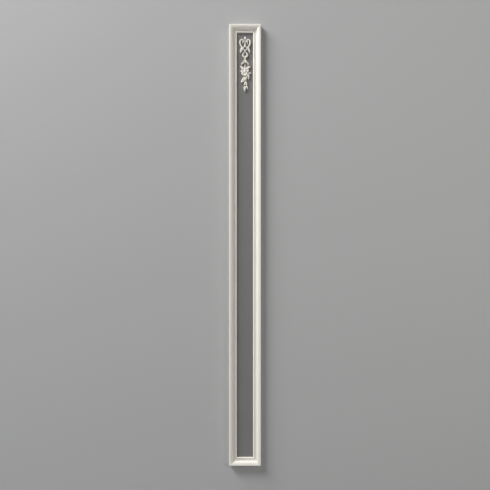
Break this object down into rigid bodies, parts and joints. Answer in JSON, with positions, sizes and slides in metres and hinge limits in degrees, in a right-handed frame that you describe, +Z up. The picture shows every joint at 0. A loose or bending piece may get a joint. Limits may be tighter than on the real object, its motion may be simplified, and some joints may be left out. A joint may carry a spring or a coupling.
{
  "type": "pilaster",
  "caption": "Tall narrow wall pilaster: a mitred frame of ogee moulding round a sunk grey field, with a carved floral drop of scrolls, ring, rose and hanging leaves near the top.",
  "frame": {"origin": "centre of the pilaster's flat back face, on the wall", "axes": "+Z up along the pilaster, +Y into the wall, the moulded face looks along -Y, +X to the viewer's right"},
  "size_m": [0.172, 0.03, 2.4],
  "materials": {
    "moulding_paint": "warm white satin paint on high-density polyurethane moulding",
    "field_paint": "mid-grey matt wall paint on a thin board",
    "drop_paint": "warm white satin paint on cast polyurethane ornament"
  },
  "bodies": {
    "root": {"left_stile": "moulding_paint", "right_stile": "moulding_paint", "top_rail": "moulding_paint", "bottom_rail": "moulding_paint", "field_board": "field_paint", "floral_drop": "drop_paint"}
  },
  "joints": []
}
